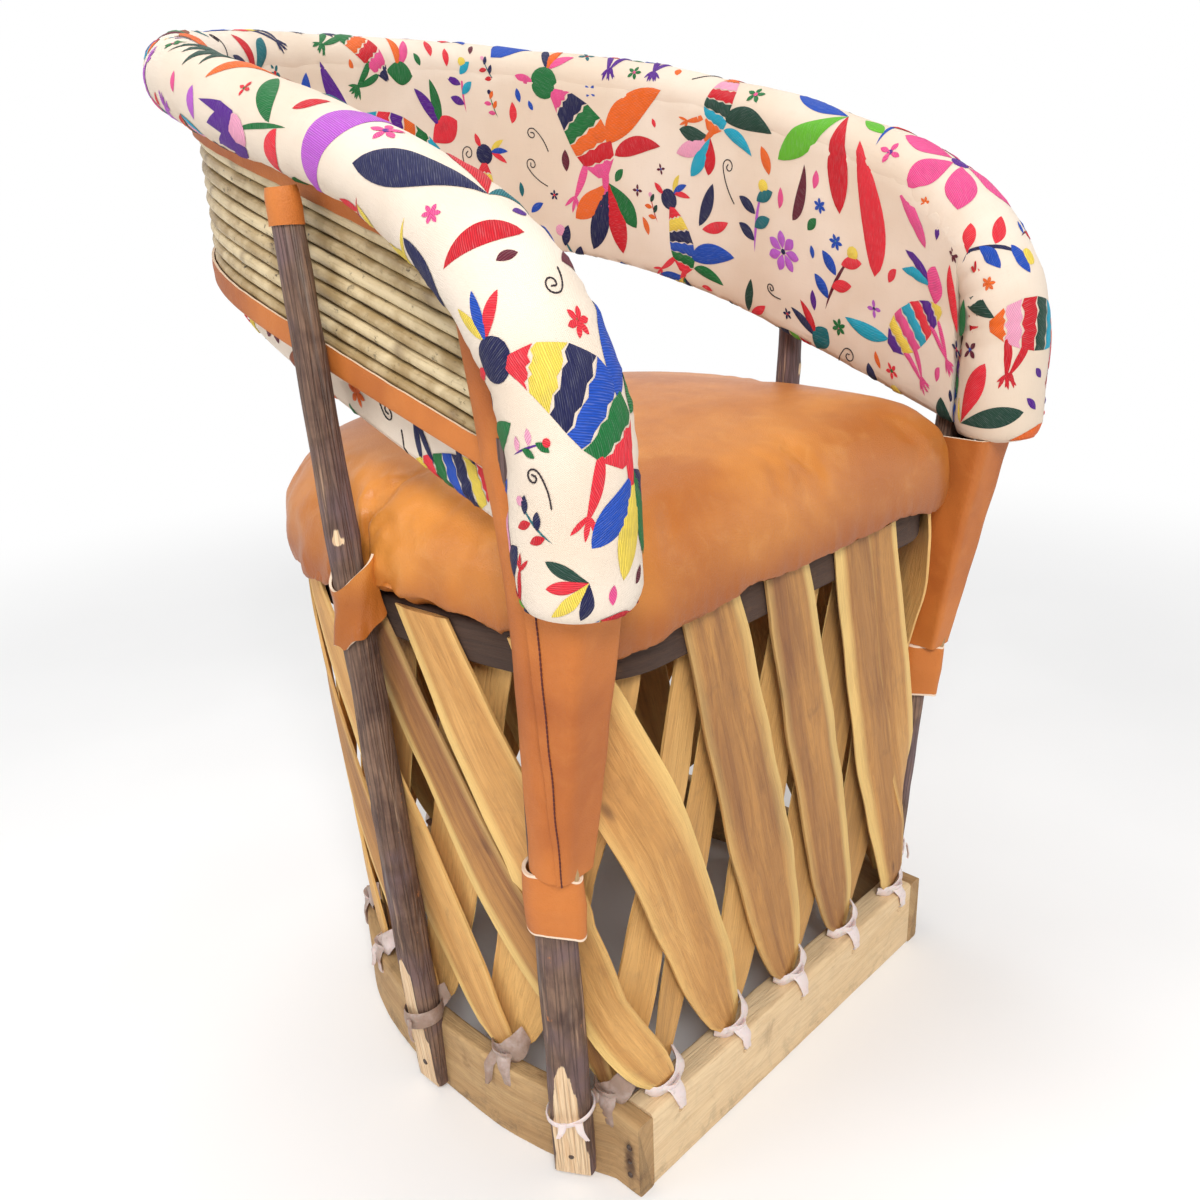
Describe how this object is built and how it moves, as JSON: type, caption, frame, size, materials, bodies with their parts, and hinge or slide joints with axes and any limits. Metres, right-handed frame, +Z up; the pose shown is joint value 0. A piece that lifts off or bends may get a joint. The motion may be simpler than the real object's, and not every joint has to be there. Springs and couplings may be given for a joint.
{
  "type": "equipale armchair",
  "caption": "Low barrel armchair of crossed wood slats with pole legs, a leather seat, a cane back and a padded embroidered roll round the back and arms.",
  "frame": {"origin": "middle of the chair's bounding box, on the floor", "axes": "+Z up, front towards -Y, +X to the right as seen from the front"},
  "size_m": [0.5602, 0.5788, 0.8253],
  "materials": {
    "sawn_plank": "sawn pale plank, worn edges",
    "bent_wood": "bent green wood, dry and dusty",
    "bark_pole": "thin grey-brown bark, shaved foot",
    "peeled_rod": "peeled rod",
    "riven_slat": "riven cedar, knife-cut bevels",
    "cane": "dry reed with nodes and dark specks",
    "strap_leather": "smooth tan leather, raw edges",
    "seat_leather": "smooth tan leather, soft shine",
    "embroidered_cloth": "plain-weave cotton with satin-stitch motifs"
  },
  "bodies": {
    "root": {"front_board": "sawn_plank", "side_hoop": "bent_wood", "front_post_left": "bark_pole", "front_post_right": "bark_pole", "side_post_left": "bark_pole", "side_post_right": "bark_pole", "back_post": "bark_pole", "top_rail": "peeled_rod", "arm_roll": "embroidered_cloth", "back_lining": "embroidered_cloth", "reed_panel": "cane", "upper_binding": "strap_leather", "lower_binding": "strap_leather", "post_strip_left": "strap_leather", "post_strip_right": "strap_leather", "post_sheath_left": "strap_leather", "post_sheath_right": "strap_leather", "post_band_left": "strap_leather", "post_band_right": "strap_leather", "seat_hoop": "bent_wood", "seat_cushion": "seat_leather", "outer_slat_01": "riven_slat", "inner_slat_01": "riven_slat", "outer_slat_02": "riven_slat", "inner_slat_02": "riven_slat", "outer_slat_03": "riven_slat", "inner_slat_03": "riven_slat", "outer_slat_04": "riven_slat", "inner_slat_04": "riven_slat", "outer_slat_05": "riven_slat", "inner_slat_05": "riven_slat", "outer_slat_06": "riven_slat", "inner_slat_06": "riven_slat", "outer_slat_07": "riven_slat", "inner_slat_07": "riven_slat", "outer_slat_08": "riven_slat", "inner_slat_08": "riven_slat", "outer_slat_09": "riven_slat", "inner_slat_09": "riven_slat", "outer_slat_10": "riven_slat", "inner_slat_10": "riven_slat", "outer_slat_11": "riven_slat", "inner_slat_11": "riven_slat", "outer_slat_12": "riven_slat", "inner_slat_12": "riven_slat", "outer_slat_13": "riven_slat", "inner_slat_13": "riven_slat", "outer_slat_14": "riven_slat", "inner_slat_14": "riven_slat", "outer_slat_15": "riven_slat", "inner_slat_15": "riven_slat", "outer_slat_16": "riven_slat", "inner_slat_16": "riven_slat", "outer_slat_17": "riven_slat", "inner_slat_17": "riven_slat", "outer_slat_18": "riven_slat", "inner_slat_18": "riven_slat", "outer_slat_19": "riven_slat", "inner_slat_19": "riven_slat"}
  },
  "joints": []
}
